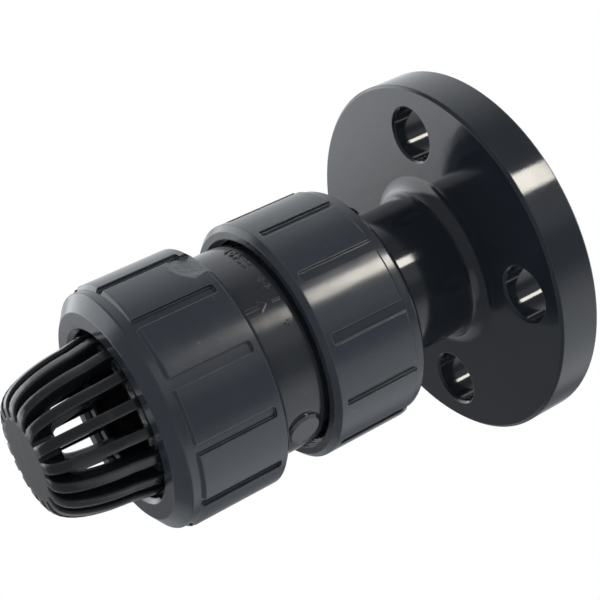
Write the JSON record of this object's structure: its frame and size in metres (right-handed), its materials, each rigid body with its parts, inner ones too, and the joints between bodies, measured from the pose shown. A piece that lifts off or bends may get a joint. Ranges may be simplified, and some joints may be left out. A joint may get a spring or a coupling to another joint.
{
  "type": "foot valve",
  "caption": "Plastic ball-check foot valve with a bolted outlet flange, a union nut at each end of its body and a slotted strainer basket.",
  "frame": {"origin": "centre of the flange's sealing face, which is also the centre of its bolt circle", "axes": "+Z along the flow axis out of the flange's sealing face, the way the water leaves; the strainer is at the low end. The four bolt holes are at 45, 135, 225 and 315 degrees from +X."},
  "size_m": [0.108, 0.108, 0.1471],
  "materials": {
    "pvc": "glossy moulded",
    "nut_pvc": "glossy moulded",
    "body_pvc": "glossy moulded",
    "basket_plastic": "glossy moulded",
    "ball_plastic": "polished",
    "rubber": "matte"
  },
  "bodies": {
    "connector": {"flange_connector": "pvc"},
    "outlet_union_nut": {"outlet_nut": "nut_pvc"},
    "body": {"valve_body": "body_pvc", "outlet_o_ring": "rubber", "seat_carrier": "body_pvc", "ball_seat": "rubber", "carrier_o_ring": "rubber", "inlet_o_ring": "rubber"},
    "ball": {"check_ball": "ball_plastic"},
    "strainer": {"strainer_basket": "basket_plastic"},
    "inlet_union_nut": {"inlet_nut": "nut_pvc"}
  },
  "joints": [
    {"name": "outlet_nut_turn", "type": "hinge", "parent": "connector", "child": "outlet_union_nut", "pos_m": [0, 0, -0.058], "axis": [0, 0, 1], "range_deg": [0, 1440]},
    {"name": "body_drop", "type": "slide", "parent": "connector", "child": "body", "axis": [0, 0, -1], "range_m": [0, 0.01601]},
    {"name": "ball_lift", "type": "slide", "parent": "body", "child": "ball", "axis": [0, 0, 1], "range_m": [0, 0.012]},
    {"name": "strainer_drop", "type": "slide", "parent": "body", "child": "strainer", "axis": [0, 0, -1], "range_m": [0, 0.01601]},
    {"name": "inlet_nut_turn", "type": "hinge", "parent": "strainer", "child": "inlet_union_nut", "pos_m": [0, 0, -0.105], "axis": [0, 0, -1], "range_deg": [0, 1440]}
  ],
  "couplings": [
    {"joint": "body_drop", "follows": "outlet_nut_turn", "m_per_rad": 0.00063662},
    {"joint": "strainer_drop", "follows": "inlet_nut_turn", "m_per_rad": 0.00063662}
  ]
}
